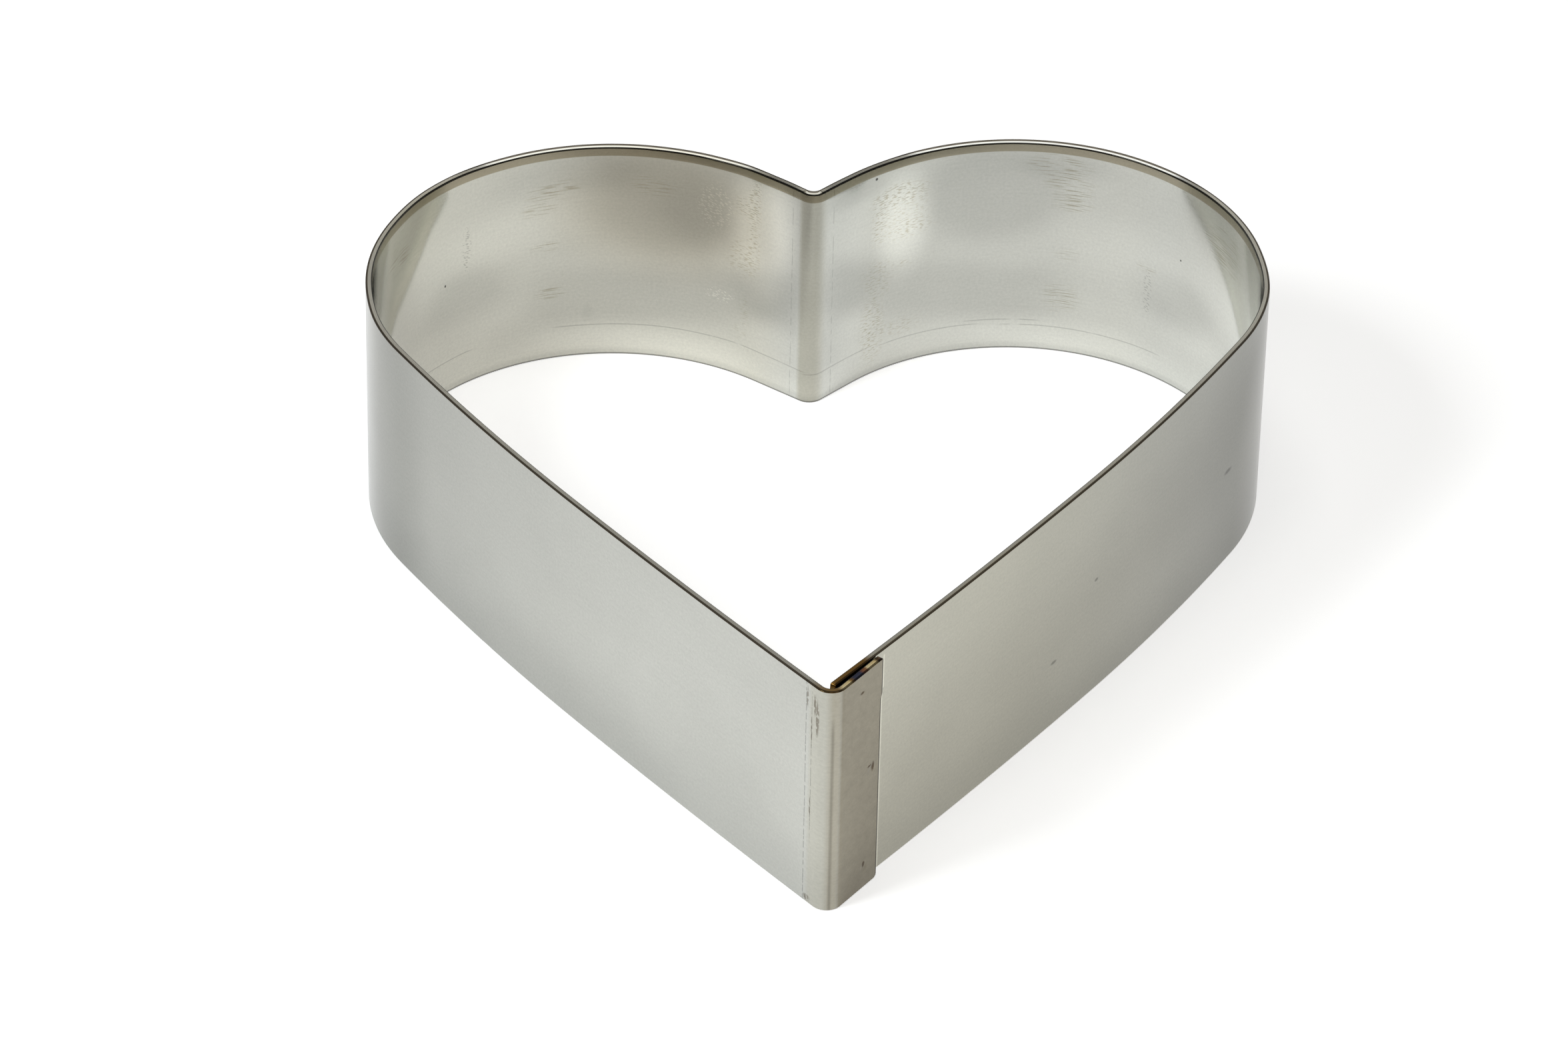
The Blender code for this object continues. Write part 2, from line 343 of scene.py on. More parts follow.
# The flat strip before it is bent, in metres: X along it, Y through it from the inner face, Z up
strip = {
    "height": 0.045,
    "outerSkin": 0.00001,  # keeps the outer face inside the solid's
    "cornerRadius": 0.0008,
    "upperCornerRadius": 0.0004,
    "cornerFade": 0.004,  # how far up or down the rows bend at a corner
    "innerRimRadius": 0.00012,
    "outerRimRadius": 0.00018,
    "lowerRimRadius": 0.00020,
    "radiusFade": (0.4, 0.6),  # shares of the height
    "roundingSteps": 5,
    "flatRows": (0.08, 0.92),  # shares of the thickness
    "rollBand": 0.0018,  # the worn band under the inner rim
    "rollDepth": 0.00008,
    "sinkFrom": 0.0444,  # where the inner edge starts to sink
    "coarse": 0.0012,  # the grid's steps
    "fine": 0.00022,
    "weldStep": 0.00025,
    "rollStep": 0.0003,
    "growth": 0.4,  # of a step, away from a fine stretch
    "notchMargin": 0.001,  # how far the fine stretches run past their bends
    "tipMargin": 0.0005,
    "lapMarks": (0.0065, 0.0008),  # from the lap's end
    "lipFrom": 0.0370,  # the step in the lap's free edge
    "lipTo": 0.0374,
    "lipReach": 0.00035,
    "lipFade": 0.002,
    # Stretches whose rim stands a little inside or outside the foot, in millimetres: from, to, how
    # softly they begin and end, and how far the rim leans outwards
    "leans": [
        (143.0, 239.0, 8.0, -0.55),
        (254.0, 268.0, 4.0, 0.30),
        (276.0, 316.0, 6.0, -0.20),
        (333.0, 366.0, 6.0, -0.25),
    ],
    # Stretches of the rim, in millimetres: from, to, how softly they begin and end, how much painted
    # highlight brightens the rim's flat there, painted shade where it is below 0, and how far its inner
    # edge lies below the outer one
    "rims": [
        (176.0, 229.0, 7.0, 0.85, 0.19),
        (264.0, 315.0, 7.0, 0.85, 0.19),
        (249.4, 252.4, 0.5, 0.85, 0.19),
        (233.0, 248.0, 1.5, -0.45, 0.0),
        (254.0, 261.0, 1.5, -0.45, 0.0),
    ],
    # Each spot weld's height, its distance from the lap's end, and its dent's radius and depth
    "welds": [
        {"height": 0.0409, "fromEnd": 0.0052, "radius": 0.0009, "depth": 0.00003},
        {"height": 0.0237, "fromEnd": 0.0021, "radius": 0.0013, "depth": 0.00010},
        {"height": 0.0043, "fromEnd": 0.0037, "radius": 0.0010, "depth": 0.00006},
    ],
    "weldDentFlat": 0.4,  # a dent's flat middle, as a share of its radius
}
# Painted light on both faces: reflections, glow and shade painted into the tone, by places on the
# strip in millimetres: the distance along it and the height. A fall or rise is from, to and the
# amount. A spot is its middle, its half sizes, how soft it is and the amount.
sheen = {
    "outerLevel": 0.98,
    "outerFall": (0, 130, 0.27),
    "outerRise": (340, 475, 0.34),
    "outerFoot": (1, 15, 0.08),
    "footGlow": (1.0, 9.5, 0.22),
    "sagDepth": 0.10,
    "sagWidth": (2.8, 8.2),
    "sagEnds": 6,
    # From, to, the middle of the sag, its height there and how steeply it rises
    "sags": [(200, 247, 205, 12.2, 0.0068), (254, 305, 291, 13.0, 0.0073)],
    "spots": [
        (176.0, 18.5, 9.0, 5.5, 0.5, -0.11), (243.0, 22.0, 9.0, 6.5, 0.5, -0.08),
        (259.0, 19.5, 9.0, 6.0, 0.5, -0.06), (319.0, 18.0, 9.0, 6.0, 0.5, -0.11),
        (213.0, 34.5, 13.0, 10.0, 0.34, -0.14), (281.0, 34.0, 14.0, 11.0, 0.4, -0.15),
        (276.0, 33.0, 6.5, 6.5, 0.7, -0.09), (230.0, 31.0, 4.5, 9.0, 0.7, 0.36),
        (186.0, 24.0, 14.0, 6.5, 0.7, 0.12), (190.0, 10.0, 12.0, 6.0, 0.6, 0.06),
        (261.5, 33.5, 6.0, 12.0, 0.5, 0.38), (237.0, 33.0, 7.0, 9.0, 0.6, 0.06),
        (312.0, 29.0, 12.0, 4.5, 0.8, 0.12), (322.0, 10.0, 12.0, 5.0, 0.7, 0.13),
        (156.0, 33.0, 13.0, 13.0, 0.6, 0.20), (268.0, 25.0, 4.0, 4.0, 0.8, 0.12),
        (200.0, 41.0, 8.0, 3.0, 0.7, -0.13), (298.0, 40.0, 12.0, 4.0, 0.7, -0.13),
        (250.5, 15.0, 2.6, 9.0, 0.6, 0.10), (250.5, 38.0, 2.6, 7.0, 0.6, -0.08),
        (170.0, 12.0, 7.0, 5.0, 0.8, 0.12), (240.5, 11.0, 4.0, 5.0, 0.7, 0.08),
        (259.0, 10.0, 6.0, 4.0, 0.7, 0.12), (256.8, 38.0, 3.4, 9.0, 0.7, 0.24),
        (241.0, 41.0, 6.0, 2.0, 0.5, -0.09), (156.5, 38.0, 4.0, 4.5, 0.5, -0.10),
        (326.0, 28.0, 10.0, 14.0, 0.8, -0.06), (258.0, 16.0, 6.0, 12.0, 0.8, -0.05),
        (288.0, 3.0, 16.0, 3.0, 0.8, 0.08), (205.0, 3.0, 14.0, 3.0, 0.8, 0.06),
    ],
    "outerSpots": [
        (475.0, 17.0, 14.0, 9.0, 0.8, -0.06), (98.0, 7.0, 26.0, 9.0, 0.8, 0.10),
        (84.0, 24.0, 18.0, 16.0, 0.8, 0.05), (377.0, 22.0, 9.0, 60.0, 0.6, -0.14),
        (125.0, 28.0, 12.0, 30.0, 0.7, -0.09), (452.0, 8.0, 30.0, 9.0, 0.8, -0.06),
    ],
}
# Where the inner face is scratched and dented, as spots whose amount is how densely
worn = {
    "scratched": [
        (200.6, 40.6, 5.0, 2.2, 0.4, 1.0), (198.8, 36.8, 4.2, 1.8, 0.4, 1.0),
        (198.0, 33.4, 3.4, 2.4, 0.4, 1.0), (199.5, 12.0, 3.0, 2.6, 0.5, 1.0),
        (163.5, 36.6, 5.0, 3.8, 0.5, 0.9), (282.6, 37.2, 4.0, 2.0, 0.5, 0.5),
        (301.2, 36.4, 4.8, 1.8, 0.4, 0.9), (304.0, 33.0, 3.2, 1.6, 0.4, 0.7),
        (337.6, 36.3, 3.8, 1.7, 0.5, 1.0), (302.4, 24.6, 2.2, 0.8, 0.5, 1.0),
        (302.0, 14.4, 2.6, 1.2, 0.5, 1.0), (198.8, 21.8, 1.8, 0.8, 0.5, 0.8),
        (183.0, 23.0, 1.6, 0.9, 0.5, 0.7),
    ],
    "dented": [
        (230.8, 37.4, 5.6, 2.2, 0.4, 1.0), (230.0, 33.0, 5.0, 5.0, 0.6, 0.50),
        (235.2, 33.0, 1.5, 5.0, 0.5, 0.9), (228.0, 29.6, 4.0, 1.4, 0.5, 0.8),
        (229.0, 22.2, 1.4, 0.8, 0.4, 0.9), (235.2, 20.5, 3.0, 4.0, 0.5, 0.7),
        (236.2, 9.5, 2.6, 6.5, 0.4, 1.0), (230.0, 8.4, 3.4, 1.8, 0.5, 0.6),
        (263.3, 38.2, 1.1, 4.4, 0.4, 1.2), (265.6, 36.8, 2.0, 1.9, 0.4, 0.9),
        (263.8, 28.5, 1.1, 6.0, 0.4, 1.1), (266.2, 25.6, 2.4, 3.6, 0.5, 0.9),
        (265.4, 14.2, 1.0, 3.4, 0.5, 0.6), (266.4, 9.6, 1.2, 1.6, 0.5, 0.5),
    ],
}


# Grid lines from 0 to length: close at both ends and in the fine stretches, and wider between
def gridLines(length, stretches):
    rim = strip["innerRimRadius"]
    steps = strip["roundingSteps"]
    border = [rim * (1 - math.cos(math.pi / 2 * i / steps)) for i in range(steps + 1)]
    lines = list(border)
    while lines[-1] < length - rim:
        here = lines[-1]
        step = strip["coarse"]
        for low, high, fine in [*stretches, (0, rim, rim / 2), (length - rim, length, rim / 2)]:
            away = max(low - here, here - high, 0)
            step = min(step, fine + strip["growth"] * away)
        lines.append(here + step)
    stretch = (length - 2 * rim) / (lines[-1] - rim)
    lines = border + [rim + (x - rim) * stretch for x in lines[steps + 1 :]]
    return lines + [length - x for x in reversed(border[:-1])]


def rounding(distance, radius):
    if distance >= radius:
        return 0.0
    return radius - math.sqrt(radius**2 - (radius - distance) ** 2)


# How far a point of the flat strip lies inside its outline, whose corners are round
def insideOutline(x, z, length):
    radius = strip["cornerRadius"] if z < strip["height"] / 2 else strip["upperCornerRadius"]
    toEnd = min(x, length - x)
    toRim = min(z, strip["height"] - z)
    if toEnd < radius and toRim < radius:
        return radius - math.hypot(radius - toEnd, radius - toRim)
    return min(toEnd, toRim)


def ease(x, low, high):
    t = min(max((x - low) / (high - low), 0), 1)
    return t * t * (3 - 2 * t)


# 1 on a stretch of the strip that is given in millimetres, with soft ends
def stretchAt(x, low, high, soft):
    return ease(1000 * x, low - soft, low + soft) * (1 - ease(1000 * x, high - soft, high + soft))


# How far the rim leans outwards at a distance along the strip
def leanAt(x):
    return sum(amount / 1000 * stretchAt(x, *stretch) for *stretch, amount in strip["leans"])


# How much painted highlight brightens the rim's flat at a distance along the strip, and how far its inner
# edge sinks
def rimAt(x):
    paintedRimHighlight, lower = 0.0, 0.0
    for low, high, soft, gain, drop in strip["rims"]:
        inside = stretchAt(x, low, high, soft)
        paintedRimHighlight += gain * inside
        lower += drop / 1000 * inside
    return paintedRimHighlight, lower


# The sum of soft ovals at a place, from rows of the middle, the half sizes, the softness and the
# amount, all in millimetres
def spotsAt(x, z, table):
    total = 0.0
    for middleX, middleZ, halfX, halfZ, soft, amount in table:
        away = math.hypot((1000 * x - middleX) / halfX, (1000 * z - middleZ) / halfZ)
        total += amount * (1 - ease(away, 1 - soft, 1 + soft))
    return total


# Painted dark reflections: the bands that sag across each lobe
def sagAt(x, z):
    total = 0.0
    soft = sheen["sagEnds"]
    for low, high, middle, level, rise in sheen["sags"]:
        away = abs(1000 * z - level - rise * (1000 * x - middle) ** 2)
        inside = stretchAt(x, low, high, soft)
        total = max(total, inside * (1 - ease(away, *sheen["sagWidth"])))
    return total


# An amount that grows from nothing between two places
def grown(place, low, high, amount):
    return amount * ease(place, low, high)


# Painted light on both faces, apart from grain and marks: painted shade outside, painted glow and
# reflections inside
def paintedLightAt(x, z, outer):
    across = 1000 * x
    up = 1000 * z
    if outer:
        turned = grown(across, *sheen["outerRise"]) - grown(across, *sheen["outerFall"])
        low, high, shade = sheen["outerFoot"]
        foot = 1 - shade * (1 - ease(up, low, high))
        return (sheen["outerLevel"] + turned) * foot * (1 + spotsAt(x, z, sheen["outerSpots"]))
    low, high, glow = sheen["footGlow"]
    glow = glow * (1 - ease(up, low, high))
    return 1 + glow + spotsAt(x, z, sheen["spots"]) - sheen["sagDepth"] * sagAt(x, z)


# A point some share of the way between two others, with the same share of their attributes
def between(bm, first, last, share):
    vert = bm.verts.new(first.co.lerp(last.co, share))
    for layer in bm.verts.layers.float.values():
        vert[layer] = first[layer] + (last[layer] - first[layer]) * share
    return vert


# How far a point of the flat strip lies behind its face, for its rounded edges, dents and worn band
def dentAt(x, z, length, outer):
    height = strip["height"]
    rimRadius = strip["outerRimRadius"] if outer else strip["innerRimRadius"]
    low, high = strip["radiusFade"]
    upper = ease(z, low * height, high * height)
    radius = strip["lowerRimRadius"] + (rimRadius - strip["lowerRimRadius"]) * upper
    dent = rounding(max(insideOutline(x, z, length), 0), radius)
    if not outer:
        return dent + strip["rollDepth"] * max(0, z - height + strip["rollBand"]) / strip["rollBand"]
    for weld in strip["welds"]:
        away = math.hypot(x - length + weld["fromEnd"], z - weld["height"])
        dent += weld["depth"] * ease(away, weld["radius"], strip["weldDentFlat"] * weld["radius"])
    return dent


# The height of a grid point, which bends in at the strip's round corners
def levelAt(x, z, length):
    height = strip["height"]
    toEnd = min(x, length - x)
    share = max(0, 1 - min(z, height - z) / strip["cornerFade"])
    if z < height / 2:
        return z + share * rounding(toEnd, strip["cornerRadius"])
    return z - share * rounding(toEnd, strip["upperCornerRadius"])


def blankPoint(x, z, length, outer):
    height = strip["height"]
    dent = dentAt(x, z, length, outer)
    depth = bend["thickness"] - strip["outerSkin"] - dent if outer else dent
    lip = ease(z, strip["lipFrom"], strip["lipTo"]) * ease(x, length - strip["lipFade"], length)
    _, lower = rimAt(x)
    sunk = 0 if outer else lower * ease(z, strip["sinkFrom"], height)
    return x + strip["lipReach"] * lip, leanAt(x) * z / height + depth, z - sunk


# One face of the flat strip: a list of rows of points, with what its material reads
def makeSheet(bm, layers, alongLines, heightLines, outer):
    length = alongLines[-1]
    rows = []
    for x in alongLines:
        paintedRimHighlight, _ = rimAt(x)
        row = []
        for z in heightLines:
            level = levelAt(x, z, length)
            vert = bm.verts.new(blankPoint(x, level, length, outer))
            vert[layers["outerFace"]] = outer
            vert[layers["level"]] = level
            # The top row carries the rim's painted highlight, the rows below the faces' painted light
            vert[layers["sheen"]] = 1 + paintedRimHighlight if z == strip["height"] else paintedLightAt(x, level, outer)
            if not outer:
                for name, table in worn.items():
                    vert[layers[name]] = min(1, spotsAt(x, level, table))
            row.append(vert)
        rows.append(row)
    return rows


# Close the strip's thickness all round with rows of faces between its two sheets
def closeRim(bm, inner, outer):
    across = len(inner) - 1
    up = len(inner[0]) - 1
    border = [(i, 0) for i in range(across)] + [(across, j) for j in range(up)]
    border += [(i, up) for i in range(across, 0, -1)] + [(0, j) for j in range(up, 0, -1)]
    rim = []
    for i, j in border:
        first, last = inner[i][j], outer[i][j]
        rim.append([first, *(between(bm, first, last, share) for share in strip["flatRows"]), last])
    for here, there in zip(rim, rim[1:] + rim[:1]):
        for k in range(len(here) - 1):
            bm.faces.new((here[k], there[k], there[k + 1], here[k + 1]))


def alongGrid(length):
    notchMargin, tipMargin, fine = strip["notchMargin"], strip["tipMargin"], strip["fine"]
    lapFrom, lapTo = strip["lapMarks"]
    stretches = [
        (path.ends["rightStraight"] - notchMargin, path.ends["notch"] + notchMargin, fine),
        (path.ends["leftSide"] - tipMargin, path.ends["tip"] + tipMargin, fine),
        (length - lapFrom, length - lapTo, fine),
    ]
    return gridLines(length, stretches)


def heightGrid():
    height = strip["height"]
    stretches = [
        (weld["height"] - weld["radius"], weld["height"] + weld["radius"], strip["weldStep"])
        for weld in strip["welds"]
    ]
    stretches.append((height - strip["rollBand"], height, strip["rollStep"]))
    return gridLines(height, stretches)


def makeBlank(length):
    alongLines = alongGrid(length)
    heightLines = heightGrid()
    bm = bmesh.new()
    uvLayer = bm.loops.layers.uv.new("strip")
    names = ("outerFace", "level", "sheen", *worn)
    for name in names:
        bm.verts.layers.float.new(name)
    layers = {name: bm.verts.layers.float[name] for name in names}
    inner = makeSheet(bm, layers, alongLines, heightLines, 0)
    outer = makeSheet(bm, layers, alongLines, heightLines, 1)
    for i in range(len(alongLines) - 1):
        for j in range(len(heightLines) - 1):
            corners = ((i, j), (i + 1, j), (i + 1, j + 1), (i, j + 1))
            bm.faces.new([outer[p][q] for p, q in corners])
            bm.faces.new([inner[p][q] for p, q in reversed(corners)])
    closeRim(bm, inner, outer)
    bmesh.ops.recalc_face_normals(bm, faces=bm.faces)
    for face in bm.faces:
        for loop in face.loops:
            loop[uvLayer].uv = (loop.vert.co.x, loop.vert[layers["level"]])
    return newPiece("heart_strip", bm)


def pathCurve():
    curve = bpy.data.curves.new("heart_path", "CURVE")
    curve.dimensions = "3D"
    spline = curve.splines.new("POLY")
    spline.points.add(len(path.points) - 1)
    for target, point in zip(spline.points, path.points):
        target.co = (point.x, point.y, 0, 1)
    guide = bpy.data.objects.new("heart_path", curve)
    bpy.context.scene.collection.objects.link(guide)
    return guide


# Geometry Nodes that bend a flat strip along a path: X is the distance along the path, Y the
# distance out of it and Z stays
def bendTree():
    tree = bpy.data.node_groups.new("bend along path", "GeometryNodeTree")
    kinds = {"Flat strip": "Geometry", "Path": "Object", "Middle": "Vector", "Finish": "Material"}
    sockets = {}
    for name, kind in kinds.items():
        socket = tree.interface.new_socket(name, in_out="INPUT", socket_type="NodeSocket" + kind)
        sockets[name] = socket.identifier
    tree.interface.new_socket("Bent strip", in_out="OUTPUT", socket_type="NodeSocketGeometry")
    graph = Graph(tree)
    given = graph.node("NodeGroupInput")
    flat, guide, middle, material = (Value(graph, given.outputs[i]) for i in range(len(kinds)))
    x, y, z = graph.split(graph.add("GeometryNodeInputPosition"))
    curve = graph.add("GeometryNodeObjectInfo", None, {"Object": guide}, "Geometry")
    sample = graph.node("GeometryNodeSampleCurve", {"mode": "LENGTH"}, {"Curves": curve, "Length": x})
    foot = Value(graph, sample.outputs["Position"])
    heading = Value(graph, sample.outputs["Tangent"])
    outward = graph.vector("CROSS_PRODUCT", heading, (0.0, 0.0, 1.0))
    raised = graph.vector("ADD", graph.scaled(outward, y), graph.xyz(0.0, 0.0, z))
    moved = graph.vector("SUBTRACT", graph.vector("ADD", foot, raised), middle)
    shape = graph.add("GeometryNodeSetPosition", None, {"Geometry": flat, "Position": moved})
    smooth = graph.add("GeometryNodeSetShadeSmooth", None, {"Geometry": shape, "Shade Smooth": True})
    real = graph.add("GeometryNodeRealizeInstances", None, {"Geometry": smooth})
    done = graph.add("GeometryNodeSetMaterial", None, {"Geometry": real, "Material": material})
    graph.node("NodeGroupOutput", None, {0: done})
    return tree, sockets


# The middle of the bent strip's outline in plan, which stands on the origin
def planMiddle():
    outer = []
    for a, b in zip(path.points, path.points[1:]):
        way = (b - a).normalized()
        outer.append((a + b) / 2 + Vector((way.y, -way.x)) * bend["thickness"])
    xs = [point.x for point in outer]
    ys = [point.y for point in outer]
    return Vector(((min(xs) + max(xs)) / 2, (min(ys) + max(ys)) / 2, 0))


def makeStrip(material):
    blank = makeBlank(path.ends["lap"])
    guide = pathCurve()
    tree, sockets = bendTree()
    modifier = blank.modifiers.new("bend", "NODES")
    modifier.node_group = tree
    modifier[sockets["Path"]] = guide
    modifier[sockets["Middle"]] = planMiddle()
    modifier[sockets["Finish"]] = material
    evaluated = blank.evaluated_get(bpy.context.evaluated_depsgraph_get())
    bent = bpy.data.meshes.new_from_object(evaluated)
    blank.modifiers.clear()
    blank.data = bent
    bpy.data.objects.remove(guide)
    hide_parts("heart_band")
    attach(blank, "root")
    return blank


# The strip's finish, by places on it in millimetres: the distance along it and the height
finish = {
    "steel": (0.540, 0.545, 0.512, 1),
    # Colours that tint the metal inside their masks, one after the other
    "tints": {
        "innerWarm": (1.0, 0.98, 0.935, 1),
        "outerWarm": (1.0, 0.97, 0.885, 1),
        "notch": (0.93, 0.905, 0.835, 1),
        "tipBend": (0.935, 0.918, 0.872, 1),
        # A warm tint over the painted dark reflection on the left lobe
        "warmPaintedShade": (1.0, 0.965, 0.91, 1),
        "straw": (0.77, 0.72, 0.64, 1),
        "lap": (0.53, 0.48, 0.40, 1),
        "worked": (1.0, 0.94, 0.80, 1),
        "underRim": (0.555, 0.505, 0.415, 1),
        "rimFlat": (1.0, 0.95, 0.86, 1),
        # The brown of the painted dark shade along the rim's edges
        "paintedEdgeShade": (1.0, 0.88, 0.74, 1),
    },
    "weldBrown": (0.09, 0.06, 0.03, 1),
    "scuffBrown": 0.6,
    "workedTint": 0.7,
    "rightWarmth": 0.25,
    "highlightEdgeShift": 0.32,
    # How much each grain, each mark and each painted highlight and shade lightens the metal, or darkens it
    # where it is below 0
    "grainTones": {"cloud": 0.12, "grain": 0.28, "rolled": 0.06},
    "markTones": {
        "scratches": -0.28,
        "dents": -0.20,
        "ridges": 0.04,
        # Painted glints: white specks of highlight
        "paintedGlints": 0.22,
        "dots": -0.25,
        "pits": -0.8,
        "scribed": -0.24,
        "smudges": -0.05,
        "notch": -0.19,
        "pressed": -0.24,
        "tipLines": -0.42,
        "bendLine": -0.30,
        "nicks": -0.45,
        "smear": -0.30,
        # Painted shade along the lap's free edge, a painted highlight beside it, and painted shade along
        # the rim's edges and the foot
        "paintedFreeEdgeShade": -0.75,
        "paintedHighlightLine": 0.45,
        "paintedEdgeShade": -0.85,
        "paintedInnerEdgeShade": -0.94,
        "paintedFootEdgeShade": -0.62,
        "paintedFootShade": -0.10,
        "bandFoot": 0.1,
    },
    # How high each grain and mark stands in millimetres, and how much rougher it is
    "relief": {"grain": 0.0018, "rolled": 0.0012, "scratches": -0.006, "dents": -0.004},
    "smoothest": 0.10,
    "rougher": {"cloud": 0.05, "grain": 0.05, "lap": 0.10, "underRim": 0.08, "dents": 0.06},
    # Even noise: its scale, detail and roughness, and how far apart it is on the two faces
    "cloud": (0.05, 2.0, 0.55),
    "grain": (1.9, 3.0, 0.7),
    "pitGrain": (3.0, 2.0, 0.5),
    "evenShift": 40,
    # Streaky noise: its cells to a millimetre along the strip and up it, its seed and its detail
    "streaks": {
        "rolled": (0.12, 2.6, 3.0, 1.0),
        "scratches": (0.24, 4.6, 11.0, 0.0),
        "strokes": (1.05, 4.6, 21.0, 0.0),
        "drift": (0.05, 0.0, 71.0, 1.0),
        "breaks": (0.2, 0.0, 75.0, 1.0),
        "dashes": (0.0, 0.35, 41.0, 1.0),
        "tipDashes": (0.0, 1.1, 47.0, 1.0),
        "scuffs": (2.6, 0.9, 43.0, 1.0),
    },
    "streakShift": 9,
    # Slanting patterns: how far they run for each millimetre along the strip and up it
    "cells": {"along": (0.66, -0.65), "up": (0.24, 1.80), "scale": 1.3, "fill": 0.30},
    "smear": {"along": (0.5, -0.2), "up": (0.35, 0.5), "seed": 15.0, "detail": 3.0},
    # The two values between which each mask grows from nothing to full. These are for noise:
    "fades": {
        "scratches": (0.52, 0.70),
        "dents": (0.55, 0.68),
        "ridges": (0.42, 0.30),
        "cells": (0.0, 0.08),
        "breaks": (0.30, 0.45),
        "dashes": (0.44, 0.54),
        "tipDashes": (0.40, 0.52),
        "scuffs": (0.38, 0.50),
        "pitGrain": (0.12, 0.36),
        # For the distance along the strip, or past the end of a stretch at the notch and the lap:
        "outerWarm": (140, 40),
        "straw": (498.1, 499.1),
        "heatedTip": (494.0, 499.0),
        "heatedStart": (10.5, 8.0),
        "innerEnd": (1.1, 0.7),
        "notchIn": (-1.2, 1.8),
        "notchOut": (1.0, -0.2),
        "lap": (-0.8, -0.2),
        "paintedFreeEdgeShade": (-0.45, -0.25),
        # For the height:
        "bendLine": (41, 36),
        "paintedHighlightLine": (44.2, 43.6),
        "innerEndTop": (43.4, 44.2),
        "rimFlat": (44.80, 44.88),
        "underRim": (43.0, 43.2),
        "bandFoot": (44.6, 43.2),
        "paintedInnerEdgeShade": (44.58, 44.66),
        "paintedFootEdgeShade": (0.50, 0.22),
        "paintedFootShade": (1.9, 0.8),
        # For the share of the thickness from the inner face, and for the rim's polish:
        "outerFace": (0.4, 0.6),
        "paintedEdgeShade": (0.70, 0.82),
        "paintedInnerEdgeDepth": (0.06, 0.02),
        "unhighlighted": (0.6, 0.1),
    },
    # From, to and how soft the ends are
    "stretches": {
        "warmLeft": (258, 345, 6),
        "warmRight": (184, 240, 6),
        "tipBend": (495.5, 498.8, 0.6),
        "shortTipLine": (14, 43, 3),
    },
    # Lines up the strip: the distance along it and the reach to each side
    "lines": {
        "pressed": [(255.0, 0.14), (246.2, 0.16)],
        "tipLine": [(494.6, 0.17)],
        "shortTipLine": [(496.0, 0.13)],
        "bendLine": [(498.95, 0.28)],
        # A painted highlight line beside the lap's free edge
        "paintedHighlightLine": [(12.35, 0.28)],
    },
    # Lines scribed near the foot: from, to and the height of each, how far they drift up and down,
    # where their edges lie and how soft their ends are
    "scribed": [
        (180.0, 210.0, 5.3), (204.0, 217.0, 6.4), (215.0, 234.0, 5.6),
        (237.0, 252.0, 6.2), (252.0, 301.0, 6.7), (318.0, 329.0, 6.8),
    ],
    "scribedDrift": 0.9,
    "scribedEdge": (0.17, 0.05),
    "scribedEnd": 1.5,
    # Ovals: how soft they are, then the middle and the half sizes of each
    "ovals": {
        "paintedGlints": (0.4, [(271.5, 35.0, 3.6, 5.0), (270.5, 16.2, 3.0, 1.4)]),
        "dots": (0.3, [(318.6, 28.6, 1.0, 5.0), (182.8, 18.0, 0.9, 5.0)]),
        "pits": (0.4, [(323.8, 23.2, 0.20, 0.26), (236.1, 42.4, 0.28, 0.28), (175.6, 28.0, 0.18, 0.18)]),
        "smudges": (0.8, [(295.1, 9.3, 0.9, 1.5), (248.0, 13.0, 0.7, 2.0)]),
        "nicks": (0.5, [(118.2, 19.8, 1.2, 0.4), (61.5, 13.4, 0.8, 0.3), (73.6, 23.7, 0.5, 0.3)]),
        "scuffs": (0.4, [
            (496.75, 41.4, 0.32, 2.0), (497.25, 38.8, 0.26, 3.4), (496.0, 35.5, 0.16, 3.0),
            (495.9, 20.0, 0.16, 2.0), (494.9, 42.0, 0.22, 2.0), (495.5, 1.0, 0.8, 0.6),
        ]),
        "warmPaintedShade": (0.5, [(281.0, 33.0, 18.0, 13.0)]),
    },
    # The welds' pits on the lap: as ovals, with the distance from the lap's end
    "weldPitSoft": 0.5,
    "weldPits": [
        (1.8, 24.2, 0.34, 0.9), (2.8, 24.8, 0.5, 0.2),
        (3.8, 5.0, 0.35, 0.55), (5.3, 41.2, 0.5, 0.26),
    ],
    # The colours that the welds' heat left along the rim, by the distance along the strip
    "heatFrom": 494.0,
    "heatLength": 17.0,
    "heatTints": [
        (494.0, (0.23, 0.125, 0.03, 1)), (499.6, (0.30, 0.19, 0.07, 1)), (500.4, (0.92, 0.76, 0.44, 1)),
        (502.0, (0.85, 0.66, 0.32, 1)), (502.6, (0.23, 0.125, 0.03, 1)), (503.4, (0.05, 0.055, 0.09, 1)),
        (505.1, (0.05, 0.055, 0.09, 1)), (505.7, (0.25, 0.10, 0.05, 1)), (506.5, (0.30, 0.14, 0.06, 1)),
        (507.0, (0.90, 0.74, 0.42, 1)), (508.9, (0.80, 0.62, 0.30, 1)), (509.5, (0.08, 0.045, 0.02, 1)),
    ],
}


def faded(value, name):
    return value.ramp(*finish["fades"][name])


def lined(value, name):
    return sum(value.near(place, reach) for place, reach in finish["lines"][name])


